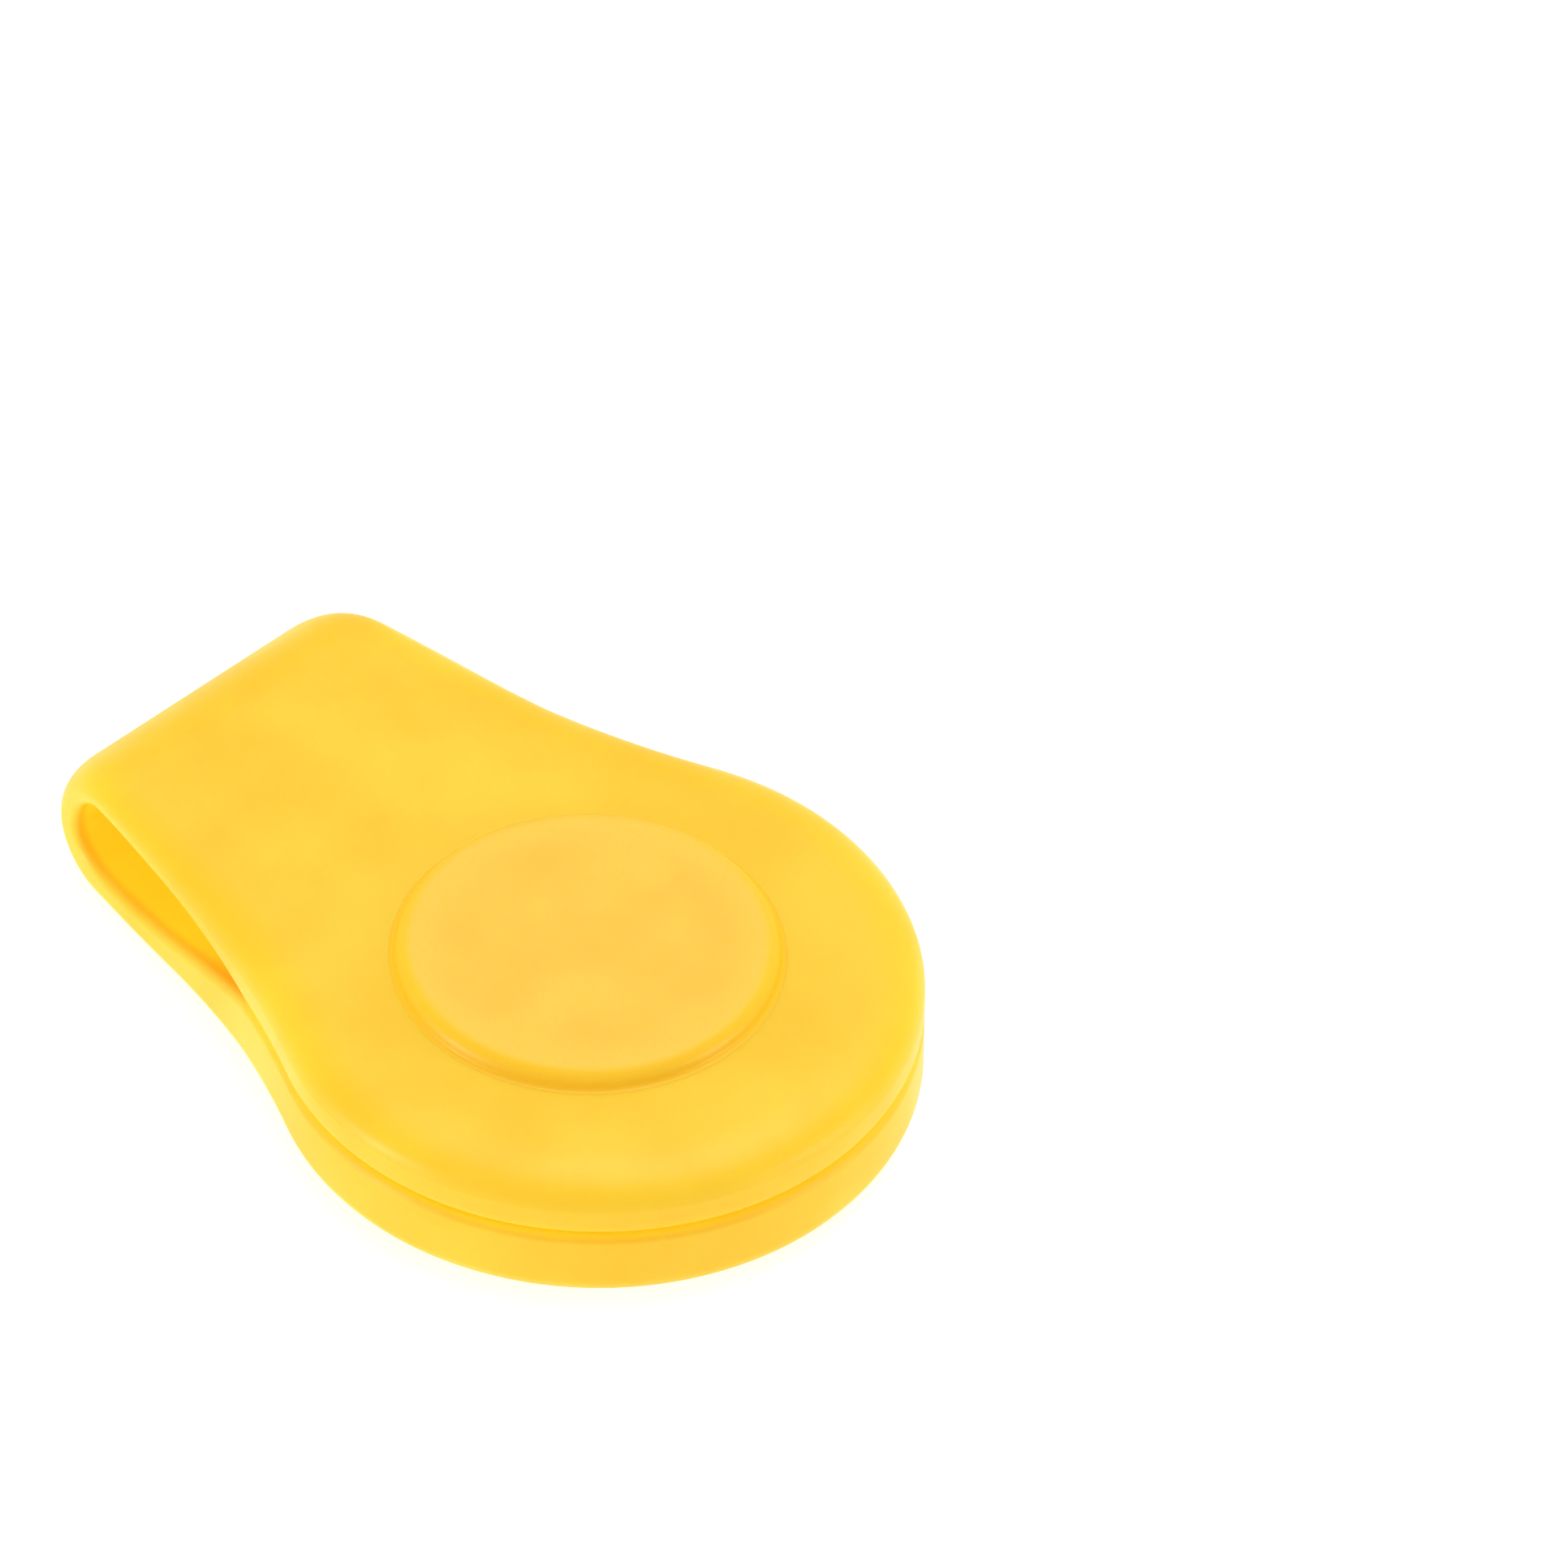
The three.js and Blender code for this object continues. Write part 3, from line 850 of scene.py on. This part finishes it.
def pad_material(finish):
    """The pad: a matt grained disc, greyed by the magnet below, inside a paler brim."""
    material, tree, shader = new_material("pad_silicone")
    set_silicone(shader, finish, 0.5)
    shader.inputs["Subsurface Weight"].default_value = finish.translucency / 2
    shader.inputs["Subsurface Scale"].default_value = 0.2 * MM
    place = tree.node("ShaderNodeTexCoord").outputs["Object"]
    over_magnet = disc_shade(tree, place, MAGNET_RADIUS + 0.4 * MM, 1.3 * MM)
    on_top = disc_shade(tree, place, PAD_RADIUS - 0.75 * MM, 0.3 * MM)
    cloud = use_group(tree, "cloudiness", {
        "Place": place, "Size": 5 * MM,
        "Clear": opaque(finish.pad), "Cloudy": opaque(finish.pad_brim)})
    top = tree.blend(over_magnet, opaque(finish.pad_brim), cloud.outputs["Colour"])
    # The pad's side is painted in the deeper colour as shade beside its paler top, with crevice shade
    # painted at its foot.
    above_foot = disc_shade(tree, place, PAD_RADIUS + 0.06 * MM, 0.12 * MM)
    side = tree.blend(above_foot, opaque(finish.crevice_shade), opaque(finish.deep_tone_and_shade))
    whole = tree.blend(on_top, side, top)
    grain = use_group(tree, "mould_grain", {"Place": place, "Grain size": 0.24 * MM})
    grain_part = tree.maths("MULTIPLY", grain.outputs["Height"], on_top)
    speckle = tree.ramp(grain.outputs["Height"], 0.4, 0.6, 0.0, 0.3)
    speckled = tree.blend(tree.maths("MULTIPLY", speckle, on_top), whole,
                          opaque(finish.deep_tone_and_shade))
    bump = tree.node("ShaderNodeBump", {"Height": grain_part, "Strength": 0.6,
                                        "Distance": 0.04 * MM})
    tree.put(shader.inputs["Base Color"], speckled)
    tree.put(shader.inputs["Roughness"], tree.ramp(on_top, 0.0, 1.0, 0.4, 0.58))
    tree.put(shader.inputs["Normal"], bump)
    return material


def nickel_material(finish):
    """Bright nickel plate with the fine turned lines of a ground magnet."""
    material, tree, shader = new_material("nickel_plate")
    place = tree.node("ShaderNodeTexCoord").outputs["Object"]
    cloud = use_group(tree, "cloudiness", {
        "Place": place, "Size": 3 * MM,
        "Clear": opaque(finish.nickel), "Cloudy": opaque([0.9 * c for c in finish.nickel])})
    grain = use_group(tree, "mould_grain", {"Place": place, "Grain size": 0.12 * MM})
    bump = tree.node("ShaderNodeBump", {"Height": grain.outputs["Height"],
                                        "Strength": 0.15, "Distance": 0.01 * MM})
    shader.inputs["Metallic"].default_value = 1.0
    tree.put(shader.inputs["Base Color"], cloud.outputs["Colour"])
    tree.put(shader.inputs["Roughness"], tree.ramp(cloud.outputs["Cloud"], 0, 1, 0.2, 0.34))
    tree.put(shader.inputs["Normal"], bump)
    return material


def floor_material(studio):
    """A pale matt light table with a hardly visible unevenness."""
    material, tree, shader = new_material("studio_floor")
    place = tree.node("ShaderNodeTexCoord").outputs["Object"]
    cloud = use_group(tree, "cloudiness", {
        "Place": place, "Size": 200 * MM,
        "Clear": opaque(studio.floor), "Cloudy": opaque([0.995 * c for c in studio.floor])})
    tree.put(shader.inputs["Base Color"], cloud.outputs["Colour"])
    shader.inputs["Roughness"].default_value = 0.9
    shader.inputs["Specular IOR Level"].default_value = 0.1
    shader.inputs["Emission Color"].default_value = (1, 1, 1, 1)
    shader.inputs["Emission Strength"].default_value = studio.floor_glow
    return material


# ---- Operators: one for each piece or group of like pieces, and one for the stage ---------------

class CLIP_OT_silicone_body(bpy.types.Operator):
    """Mould the strap, its fold and both paddles as one silicone skin"""

    bl_idname = "clip.silicone_body"
    bl_label = "Silicone body"

    def execute(self, context):
        scene = context.scene
        shape, pad = scene.clip_shape, scene.clip_pad
        moulding = build_moulding(shape, pad)
        material = body_material(scene.clip_finish, shape)
        body = new_object("silicone_body", moulding.points, moulding.faces, material)
        keep_rest_places(body)
        closed = np.empty(len(body.data.vertices) * 3, np.float32)
        body.data.vertices.foreach_get("co", closed)
        self.lay_flat(body, moulding.along)
        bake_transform(body)
        body.data.vertices.foreach_set("co", closed)
        body.data.update()
        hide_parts("lower_paddle", "fold_hinge", "upper_paddle")
        return {"FINISHED"}

    def lay_flat(self, body, along):
        """Unfolds the strap along X: every point goes onto the X axis at its place along the unfolded
        strap.
        """
        flat = np.zeros((len(along), 3), np.float32)
        flat[:, 0] = along
        body.data.vertices.foreach_set("co", flat.ravel())


class CLIP_OT_pad_cap(bpy.types.Operator):
    """Mould the raised round pad that covers the upper magnet"""

    bl_idname = "clip.pad_cap"
    bl_label = "Pad cap"

    def execute(self, context):
        scene = context.scene
        pad = scene.clip_pad
        seat = MAGNET_RADIUS + pad.bond
        ceiling = MAGNET_HIGH.z + pad.bond
        face = PADDLE_HIGH.z
        profile = [(0.0, ceiling), (seat - SEAT_CORNER, ceiling), (seat, ceiling - SEAT_CORNER)]
        profile += [(seat, PAD_LOW.z + PAD_FOOT), (seat + PAD_FOOT, PAD_LOW.z)]
        profile += [(PAD_RADIUS - PAD_FOOT, PAD_LOW.z), (PAD_RADIUS, PAD_LOW.z + PAD_FOOT)]
        shoulder = PAD_HIGH.z - pad.edge
        profile += [(PAD_RADIUS, face - pad.lip), (PAD_RADIUS + pad.fillet, face - pad.lip)]
        profile += self.skirt(pad.fillet, face, shoulder, pad.edge)
        flat_radius = PAD_RADIUS - pad.edge
        for part in np.linspace(0, 1, 9)[1:]:
            radius = flat_radius - pad.brim * part
            profile.append((radius, PAD_HIGH.z - pad.dish * smooth_step(part)))
        for part in PAD_TOP:
            profile.append(((flat_radius - pad.brim) * part, PAD_HIGH.z - pad.dish))
        profile.append((0.0, PAD_HIGH.z - pad.dish))
        cap = turned_piece("raised_pad", profile, PAD_CENTRE, pad_material(scene.clip_finish))
        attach(cap, UPPER)
        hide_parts("pad_cap")
        return {"FINISHED"}

    def skirt(self, fillet, face, shoulder, edge):
        """The pad's side: a hollow fillet that runs out on the paddle, then the rounded edge."""
        rise = face + fillet
        lift = max(0.0, rise - shoulder)
        start = math.asin(min(1.0, lift / edge))
        top = PAD_RADIUS - edge * (1 - math.cos(start))
        points = [(top + fillet * (1 - math.sin(t)), face + fillet * (1 - math.cos(t)))
                  for t in np.linspace(0, math.radians(80), 9)]
        return points + rounded_corner(PAD_RADIUS - edge, shoulder, edge, 14,
                                       math.degrees(start) + 8, 88)


class CLIP_OT_magnet_cover(bpy.types.Operator):
    """Mould the flush disc that seals the lower magnet's pocket"""

    bl_idname = "clip.magnet_cover"
    bl_label = "Magnet cover"

    def execute(self, context):
        scene = context.scene
        edge, low, high = COVER_EDGE, COVER_LOW.z, COVER_HIGH.z
        profile = [(0.0, low)]
        profile += rounded_corner(COVER_RADIUS - edge, low + edge, edge, 4, -90, 0)
        profile += rounded_corner(COVER_RADIUS - edge, high - edge, edge, 4, 0, 90)
        profile += [(COVER_RADIUS * 0.7, high), (COVER_RADIUS * 0.35, high), (0.0, high)]
        centre = (COVER_LOW + COVER_HIGH) / 2
        material = cover_material(scene.clip_finish)
        cover = turned_piece("magnet_cover", profile, centre, material)
        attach(cover, LOWER)
        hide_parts("lower_magnet_cover")
        return {"FINISHED"}


class CLIP_OT_magnets(bpy.types.Operator):
    """Plate both magnets with nickel"""

    bl_idname = "clip.magnets"
    bl_label = "Magnets"

    def execute(self, context):
        material = nickel_material(context.scene.clip_finish)
        for name in ("lower_magnet", "upper_magnet"):
            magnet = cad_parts[name]
            magnet.data.materials.clear()
            magnet.data.materials.append(material)
        return {"FINISHED"}


def soft_light(name, place, target, size, power):
    """A rectangular light of a size in metres and a power in watts, turned to its target."""
    data = bpy.data.lights.new(name, "AREA")
    data.shape = "RECTANGLE"
    data.size, data.size_y = size
    data.energy = power
    light = bpy.data.objects.new(name, data)
    light.location = place
    light.rotation_euler = (target - place).to_track_quat("-Z", "Y").to_euler()
    bpy.context.scene.collection.objects.link(light)


class CLIP_OT_studio(bpy.types.Operator):
    """Set up the pale floor, the soft lights and the camera"""

    bl_idname = "clip.studio"
    bl_label = "Studio"

    def execute(self, context):
        studio = context.scene.clip_studio
        self.make_floor(studio)
        self.make_lights(context.scene)
        self.make_camera(context.scene, studio)
        return {"FINISHED"}

    def make_floor(self, studio):
        """A floor 3 m wide, a hair below the clip so that their faces don't fight."""
        half = 1.5
        corners = [(-half, -half, 0), (half, -half, 0), (half, half, 0), (-half, half, 0)]
        floor = new_object("studio_floor", corners, [(0, 1, 2, 3)], floor_material(studio))
        floor.location.z = -0.02 * MM

    def make_lights(self, scene):
        world = bpy.data.worlds.new("white_room")
        world.use_nodes = True
        background = world.node_tree.nodes["Background"]
        background.inputs["Color"].default_value = (1, 1, 1, 1)
        background.inputs["Strength"].default_value = ROOM_STRENGTH
        scene.world = world
        middle = Vector((0, 0, MIDDLE_Z))
        for name, place, size, power in LIGHTS:
            soft_light(name, Vector(place), middle, size, power)

    def make_camera(self, scene, studio):
        """A long lens on the upper paddle's middle, aimed beside it so the clip sits lower left."""
        az, el, roll = studio.azimuth, studio.elevation, studio.roll
        right = Vector((math.cos(az), math.sin(az), 0))
        back = Vector((math.sin(az) * math.cos(el), -math.cos(az) * math.cos(el), math.sin(el)))
        up = back.cross(right)
        turned_right = right * math.cos(roll) + up * math.sin(roll)
        turned_up = up * math.cos(roll) - right * math.sin(roll)
        head = Vector((FOLD_X + HEAD_U, 0, 2 * MIDDLE_Z))
        aim = head + turned_right * studio.aim_right + turned_up * studio.aim_up
        place = head + back * studio.distance
        away = (place - aim).normalized()
        side = turned_up.cross(away).normalized()
        data = bpy.data.cameras.new("camera")
        data.sensor_width = 36
        data.lens = data.sensor_width * studio.distance / studio.frame_width
        data.clip_start, data.clip_end = 0.01, 10
        camera = bpy.data.objects.new("camera", data)
        rotation = Matrix((side, away.cross(side), away)).transposed()
        camera.matrix_world = Matrix.Translation(place) @ rotation.to_4x4()
        scene.collection.objects.link(camera)
        scene.camera = camera
        scene.view_settings.view_transform = "Standard"


class CLIP_PT_sidebar(bpy.types.Panel):
    """Lists the pieces of the clip in the 3D view's sidebar"""

    bl_label = "Folded silicone clip"
    bl_idname = "CLIP_PT_sidebar"
    bl_space_type = "VIEW_3D"
    bl_region_type = "UI"
    bl_category = "Clip"

    def draw(self, context):
        for operator in OPERATORS:
            self.layout.operator(operator.bl_idname)


OPERATORS = (CLIP_OT_studio, CLIP_OT_silicone_body, CLIP_OT_pad_cap, CLIP_OT_magnet_cover,
             CLIP_OT_magnets)
SETTINGS = {"clip_shape": ClipShape, "clip_pad": PadShape, "clip_finish": ClipFinish,
            "clip_studio": StudioSetup}


def register():
    for made in (*SETTINGS.values(), *OPERATORS, CLIP_PT_sidebar):
        bpy.utils.register_class(made)
    for name, kind in SETTINGS.items():
        setattr(bpy.types.Scene, name, PointerProperty(type=kind))


def unregister():
    for name in SETTINGS:
        delattr(bpy.types.Scene, name)
    for made in (CLIP_PT_sidebar, *reversed(OPERATORS), *reversed(list(SETTINGS.values()))):
        bpy.utils.unregister_class(made)


def main():
    register()
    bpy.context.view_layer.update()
    bpy.ops.clip.studio()
    bpy.ops.clip.silicone_body()
    bpy.ops.clip.pad_cap()
    bpy.ops.clip.magnet_cover()
    bpy.ops.clip.magnets()


if __name__ == "__main__":
    main()
